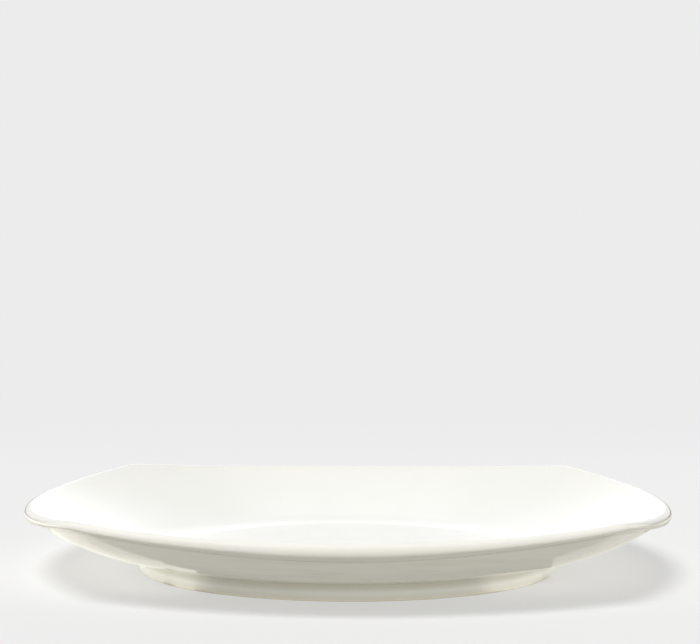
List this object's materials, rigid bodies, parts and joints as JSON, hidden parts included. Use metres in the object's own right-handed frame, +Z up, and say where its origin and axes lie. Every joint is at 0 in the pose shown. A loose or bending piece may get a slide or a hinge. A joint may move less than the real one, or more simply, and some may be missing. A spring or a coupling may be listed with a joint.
{
  "type": "square plate",
  "caption": "Square dinner plate with bowed sides, small round corners, a round well, a sloping rim with a rolled lip, and a round foot ring that it stands on.",
  "frame": {"origin": "on the table under the middle of the plate, in the plane of the foot ring's contact face", "axes": "+Z up through the middle of the well; +X and +Y out through the middles of two neighbouring sides"},
  "size_m": [0.254, 0.254, 0.0306],
  "materials": {
    "bare_porcelain": "fired and unglazed, matt, with a fine grit",
    "white_glaze": "clear glossy glaze over white porcelain"
  },
  "bodies": {
    "root": {"plate_body": "bare_porcelain", "outer_glaze": "white_glaze", "base_glaze": "white_glaze"}
  },
  "joints": []
}
